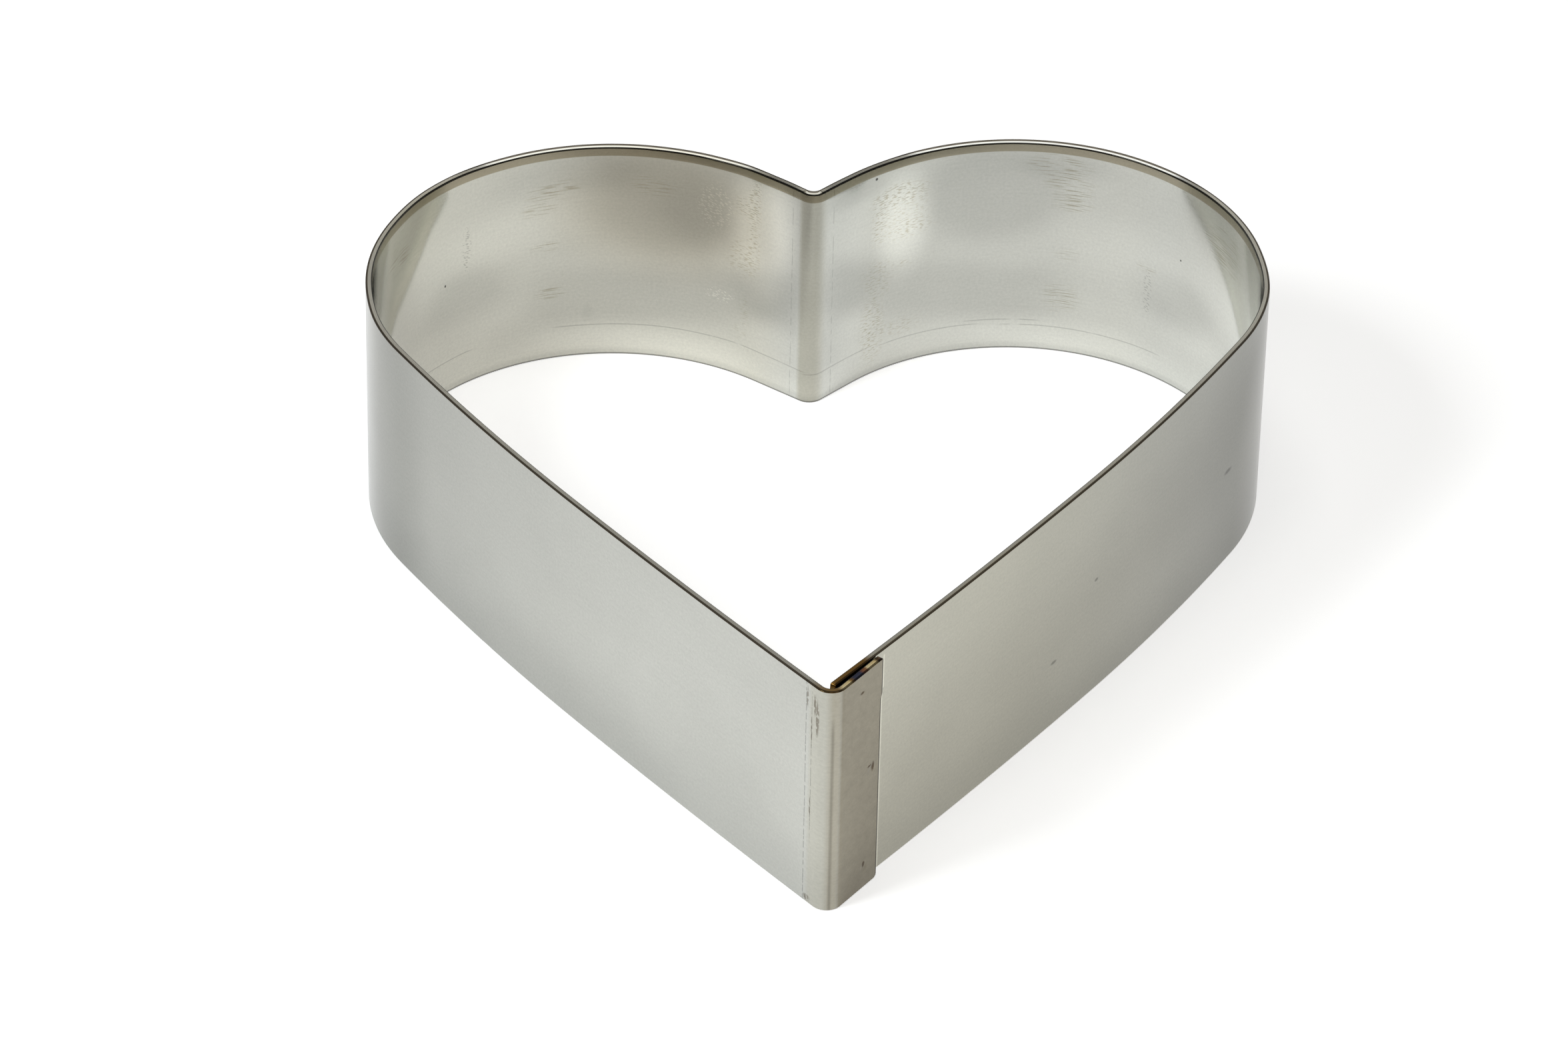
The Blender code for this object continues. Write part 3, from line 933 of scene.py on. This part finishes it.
# Where a point lies on the strip, by the strip's own map, whose X is the distance along it and whose
# Y is the height, and by its points' attributes
class StripPlace:
    def __init__(self, graph):
        self.graph = graph
        self.place = graph.scaled(graph.add("ShaderNodeUVMap", {"uv_map": "strip"}), 1000.0)
        self.along, self.height, _ = graph.split(self.place)
        self.through = graph.attribute("outerFace")
        self.outer = faded(self.through, "outerFace")
        self.inner = 1 - self.outer
        self.solid = graph.xyz(self.along, self.height, self.through * finish["evenShift"])
        self.rimFlat = faded(self.height, "rimFlat")
        self.ends = {name: 1000 * end for name, end in path.ends.items()}

    def even(self, name):
        return self.graph.noise(self.solid, *finish[name])

    def streaks(self, name):
        x, y, seed, detail = finish["streaks"][name]
        cells = self.graph.xyz(
            self.along * x, self.height * y, self.through * finish["streakShift"] + seed
        )
        return self.graph.noise(cells, 1.0, detail)

    def slanting(self, pattern, seed=0.0):
        x = self.along * pattern["along"][0] + self.height * pattern["up"][0]
        y = self.along * pattern["along"][1] + self.height * pattern["up"][1]
        return self.graph.xyz(x, y, seed)

    def ovals(self, name):
        soft, rows = finish["ovals"][name]
        return self.graph.ovals(self.place, rows, soft)


def grainMasks(at):
    return {
        "cloud": at.even("cloud") - 0.5,
        "grain": at.even("grain") - 0.5,
        "rolled": at.streaks("rolled") - 0.5,
    }


# Lines scribed inside, which drift up and down and break off
def scribedLines(at):
    level = at.height - (at.streaks("drift") - 0.5) * finish["scribedDrift"]
    total = 0.0
    for low, high, place in finish["scribed"]:
        line = abs(level - place).ramp(*finish["scribedEdge"])
        total = line * at.along.between(low, high, finish["scribedEnd"]) + total
    return total * at.inner * faded(at.streaks("breaks"), "breaks")


# Tool marks inside the lobes, with painted glints among them
def toolMasks(at):
    slanted = at.slanting(finish["cells"])
    values = {"Vector": slanted, "Scale": finish["cells"]["scale"]}
    cells = at.graph.add("ShaderNodeTexVoronoi", {"voronoi_dimensions": "2D"}, values)
    fill = at.inner * finish["cells"]["fill"]
    strokes = at.streaks("strokes")
    dented = at.graph.attribute("dented")
    return {
        "scratches": faded(at.streaks("scratches"), "scratches") * at.graph.attribute("scratched"),
        "dents": faded(strokes, "dents") * dented,
        "ridges": faded(strokes, "ridges") * dented,
        "paintedGlints": faded(at.ovals("paintedGlints") * fill - cells, "cells"),
        "dots": faded(at.ovals("dots") * fill - cells, "cells"),
        "pits": at.ovals("pits") * at.inner,
        "smudges": at.ovals("smudges") * at.inner,
        "scribed": scribedLines(at),
    }


# The notch, the press marks beside both bends and the nicks and scuffs outside
def bendMasks(at):
    notch = faded(at.along - at.ends["rightStraight"], "notchIn")
    shortLine = lined(at.along, "shortTipLine") * at.height.between(*finish["stretches"]["shortTipLine"])
    tipLines = (lined(at.along, "tipLine") + shortLine) * at.outer
    return {
        "notch": notch * faded(at.along - at.ends["notch"], "notchOut") * at.inner,
        "pressed": lined(at.along, "pressed") * at.inner * faded(at.streaks("dashes"), "dashes"),
        "tipLines": tipLines * faded(at.streaks("tipDashes"), "tipDashes"),
        "bendLine": lined(at.along, "bendLine") * faded(at.height, "bendLine") * at.outer,
        "nicks": at.ovals("nicks") * at.outer,
        "scuffs": faded(at.streaks("scuffs"), "scuffs") * at.ovals("scuffs") * at.outer,
    }


# The lap's rougher, darker face, its welds' pits and painted shade along its free edge, with a painted
# highlight line beside it
def lapMasks(at):
    lapEnd = at.ends["lap"]
    lap = faded(at.along - at.ends["tip"], "lap") * at.outer
    smear = finish["smear"]
    smeared = at.graph.noise(at.slanting(smear, smear["seed"]), 1.0, smear["detail"])
    lip = at.height.ramp(1000 * strip["lipFrom"], 1000 * strip["lipTo"]) * (1000 * strip["lipReach"])
    rows = [(lapEnd - x, y, *halves) for x, y, *halves in finish["weldPits"]]
    pits = at.graph.ovals(at.place, rows, finish["weldPitSoft"]) * at.outer
    paintedHighlightLine = lined(at.along - lip, "paintedHighlightLine") * faded(at.height, "paintedHighlightLine")
    return {
        "lap": lap,
        "smear": lap * (smeared - 0.5),
        "paintedFreeEdgeShade": faded(at.along - lip - lapEnd, "paintedFreeEdgeShade") * at.outer,
        "paintedHighlightLine": paintedHighlightLine * at.outer,
        "weldPits": pits * faded(at.even("pitGrain"), "pitGrain"),
    }


# The worn band under the inner rim, the rim's flat with its painted highlight and painted dark shade along
# both its edges, and painted shade along the foot
def rimMasks(at):
    underRim = faded(at.height, "underRim") * at.inner * (1 - at.rimFlat)
    paintedHighlight = (at.graph.attribute("sheen") - 1).most(0)
    return {
        "underRim": underRim,
        "bandFoot": underRim * faded(at.height, "bandFoot"),
        "rimFlat": at.rimFlat * faded(paintedHighlight, "unhighlighted"),
        "paintedEdgeShade": at.rimFlat * faded(at.through + paintedHighlight * finish["highlightEdgeShift"], "paintedEdgeShade"),
        "paintedInnerEdgeShade": faded(at.height, "paintedInnerEdgeShade") * faded(at.through, "paintedInnerEdgeDepth"),
        # Painted shade along the inner foot
        "paintedFootEdgeShade": faded(at.height, "paintedFootEdgeShade") * at.inner,
        "paintedFootShade": faded(at.height, "paintedFootShade") * at.inner,
    }


# Stretches of warmer and cooler metal, and a warm tint over the painted dark reflection on the left lobe
def warmMasks(at, masks):
    stretches = finish["stretches"]
    right = at.along.between(*stretches["warmRight"]) * finish["rightWarmth"]
    return {
        "innerWarm": at.inner * (at.along.between(*stretches["warmLeft"]) + right),
        "outerWarm": at.outer * faded(at.along, "outerWarm"),
        "tipBend": at.along.between(*stretches["tipBend"]) * at.outer,
        "warmPaintedShade": at.ovals("warmPaintedShade") * at.inner,
        "straw": faded(at.along, "straw") * at.outer * (1 - masks["lap"]),
        "worked": masks["dents"].most(masks["scratches"]) * finish["workedTint"],
    }


# The welds' heat on the rim: along the lap, at the strip's start beside it and at the inner end
def heated(at, colour):
    warmth = faded(at.along, "heatedTip").most(faded(at.along, "heatedStart")) * at.rimFlat
    warmth = warmth.most(faded(at.along, "innerEnd") * faded(at.height, "innerEndTop"))
    start, length = finish["heatFrom"], finish["heatLength"]
    stops = [((place - start) / length, shade) for place, shade in finish["heatTints"]]
    share = (at.along - start) / length
    heat = at.graph.add("ShaderNodeValToRGB", {"stops": stops}, {0: share})
    return at.graph.blend(warmth, colour, heat)


# A base plus the given amounts of masks
def added(masks, amounts, base):
    total = base
    for name, amount in amounts.items():
        total = masks[name] * amount + total
    return total


def stainless():
    material, graph = newMaterial("stainless strip")
    at = StripPlace(graph)
    masks = {**grainMasks(at), **toolMasks(at), **bendMasks(at), **lapMasks(at), **rimMasks(at)}
    masks.update(warmMasks(at, masks))
    # The grain's tone, times the painted reflections, shade and highlight that the points carry
    tone = added(masks, finish["grainTones"], 1) * graph.attribute("sheen")
    for name, amount in finish["markTones"].items():
        tone = tone * (masks[name] * amount + 1)
    colour = finish["steel"]
    for name, shade in finish["tints"].items():
        colour = graph.tint(masks[name], colour, shade)
    brown = masks["weldPits"] + masks["scuffs"] * finish["scuffBrown"]
    colour = graph.blend(brown, heated(at, colour), finish["weldBrown"])
    relief = added(masks, finish["relief"], 0.0)
    bump = graph.add("ShaderNodeBump", None, {"Strength": 1.0, "Distance": 0.001, "Height": relief})
    graph.metal(graph.scaled(colour, tone), added(masks, finish["rougher"], finish["smoothest"]), bump)
    return material


weldFinish = {
    "dark": (0.30, 0.24, 0.16, 1),
    "light": (0.42, 0.38, 0.32, 1),
    "spotScale": 900.0,
    "smoothest": 0.35,
    "rougher": 0.2,
}


def weldSteel():
    material, graph = newMaterial("weld steel")
    spots = graph.noise(graph.add("ShaderNodeTexCoord", None, None, "Object"), weldFinish["spotScale"])
    colour = graph.blend(spots, weldFinish["dark"], weldFinish["light"])
    graph.metal(colour, spots * weldFinish["rougher"] + weldFinish["smoothest"])
    return material


bandPiece = makeStrip(stainless())
nugget = weldSteel()
for name in ("upper_spot_weld", "middle_spot_weld", "lower_spot_weld"):
    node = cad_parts[name]
    node.data.materials.clear()
    node.data.materials.append(nugget)
print("strip", len(bandPiece.data.polygons), "faces")


studio = {
    "floorHalf": 3.0,
    "floorColour": (0.80, 0.80, 0.79, 1),
    "floorLift": 0.56,
    "mirroredLift": 0.35,
    "worldColour": (0.75, 0.77, 0.80, 1),
    "worldLevel": 0.05,
    "backdropTop": math.radians(33.05),
    "backdropEdge": math.radians(0.25),
    "backdropSide": (0.0, 0.3),
    "backdropLevel": 0.95,
    "backLevel": 0.42,
    "backSide": (-0.1, 0.6),
    "ceilingFrom": math.radians(45),
    "ceilingTo": math.radians(68),
    "ceilingSoft": 0.03,
    "frontLevel": 0.05,
    "lampDistance": 1.2,
}
# Each lamp's bearing left of the camera's side and its height in degrees, its size and its power
lamps = [
    {"name": "left", "bearing": 62, "rise": 45, "size": 0.35, "power": 6.6, "colour": (0.95, 0.98, 1.0)},
    {"name": "front", "bearing": 0, "rise": 35, "size": 0.35, "power": 1.3, "colour": (1.0, 0.99, 0.97)},
    {"name": "right", "bearing": -50, "rise": 62, "size": 0.35, "power": 1.5, "colour": (1.0, 0.96, 0.90)},
    {"name": "overhead", "bearing": 0, "rise": 89, "size": 0.6, "power": 3.6, "colour": (1.0, 0.99, 0.97)},
]


def makeFloor():
    bm = bmesh.new()
    bmesh.ops.create_grid(bm, x_segments=1, y_segments=1, size=studio["floorHalf"])
    floor = newPiece("floor", bm)
    material, graph = newMaterial("pale floor")
    seen = graph.add("ShaderNodeLightPath", None, None, "Is Camera Ray")
    mirrored = graph.add("ShaderNodeLightPath", None, None, "Is Glossy Ray")
    through = graph.add("ShaderNodeLightPath", None, None, "Is Transmission Ray")
    matt = graph.add("ShaderNodeBsdfDiffuse", None, {"Color": studio["floorColour"]})
    lift = seen * studio["floorLift"] + mirrored.most(through) * studio["mirroredLift"]
    glow = graph.add("ShaderNodeEmission", None, {"Strength": lift})
    both = graph.add("ShaderNodeAddShader", None, {0: matt, 1: glow})
    graph.node("ShaderNodeOutputMaterial", None, {"Surface": both})
    floor.data.materials.append(material)


# The metal mirrors a white backdrop up to its top edge, a grey wall over it with a bright ceiling
# strip, and a dark front
def makeWorld():
    world = bpy.data.worlds.new("studio")
    bpy.context.scene.world = world
    world.use_nodes = True
    world.node_tree.nodes.clear()
    graph = Graph(world.node_tree)
    _, backwards, upwards = graph.split(graph.add("ShaderNodeTexCoord", None, None, "Generated"))
    edge = studio["backdropTop"]
    soft = studio["backdropEdge"]
    behind = backwards.ramp(*studio["backdropSide"])
    backdrop = upwards.ramp(math.sin(edge + soft), math.sin(edge - soft)) * behind
    ceiling = upwards.between(
        math.sin(studio["ceilingFrom"]), math.sin(studio["ceilingTo"]), studio["ceilingSoft"]
    )
    wall = studio["backLevel"] - studio["frontLevel"]
    level = backwards.ramp(*studio["backSide"]) * wall + studio["frontLevel"]
    level = level + (backdrop + ceiling * behind) * (studio["backdropLevel"] - studio["backLevel"])
    seen = graph.add("ShaderNodeLightPath", None, None, "Is Camera Ray")
    mirrored = graph.add("ShaderNodeLightPath", None, None, "Is Glossy Ray")
    values = {"Color": studio["worldColour"], "Strength": studio["worldLevel"]}
    dim = graph.add("ShaderNodeBackground", None, values)
    mirror = graph.add("ShaderNodeBackground", None, {"Color": (1, 1, 1, 1), "Strength": level})
    white = graph.add("ShaderNodeBackground", None, {"Color": (1, 1, 1, 1), "Strength": 1.0})
    mixed = graph.add("ShaderNodeMixShader", None, {0: mirrored, 1: dim, 2: mirror})
    mixed = graph.add("ShaderNodeMixShader", None, {0: seen, 1: mixed, 2: white})
    graph.node("ShaderNodeOutputWorld", None, {"Surface": mixed})


def areaLamp(sizes):
    lamp = bpy.data.lights.new(sizes["name"], "AREA")
    lamp.size = sizes["size"]
    lamp.energy = sizes["power"]
    lamp.color = sizes["colour"]
    obj = bpy.data.objects.new(sizes["name"], lamp)
    bearing = math.radians(sizes["bearing"])
    rise = math.radians(sizes["rise"])
    level = math.cos(rise)
    way = Vector((-math.sin(bearing) * level, -math.cos(bearing) * level, math.sin(rise)))
    obj.location = way * studio["lampDistance"]
    obj.rotation_euler = way.to_track_quat("Z", "Y").to_euler()
    bpy.context.scene.collection.objects.link(obj)


makeFloor()
makeWorld()
for lampSizes in lamps:
    areaLamp(lampSizes)


# The camera, fitted to the photograph: its place and directions in the path's plan
camera = {
    "place": (-0.0242, -0.8953, 0.7276),
    "right": (0.9998, -0.0079, 0.0156),
    "up": (-0.0080, 0.5877, 0.8091),
    "focalPixels": 10536.3,
    "widthPixels": 2352,
    "sensor": 36.0,
    "clipStart": 0.05,
}


def makeCamera():
    data = bpy.data.cameras.new("camera")
    data.sensor_width = camera["sensor"]
    data.lens = camera["focalPixels"] / camera["widthPixels"] * camera["sensor"]
    data.clip_start = camera["clipStart"]
    obj = bpy.data.objects.new("camera", data)
    right = Vector(camera["right"]).normalized()
    back = right.cross(Vector(camera["up"])).normalized()
    up = back.cross(right)
    turned = Matrix((right, up, back)).transposed().to_4x4()
    obj.matrix_world = Matrix.Translation(Vector(camera["place"]) - planMiddle()) @ turned
    bpy.context.scene.collection.objects.link(obj)
    bpy.context.scene.camera = obj


makeCamera()
bpy.context.scene.view_settings.view_transform = "Standard"
print("studio and camera made")
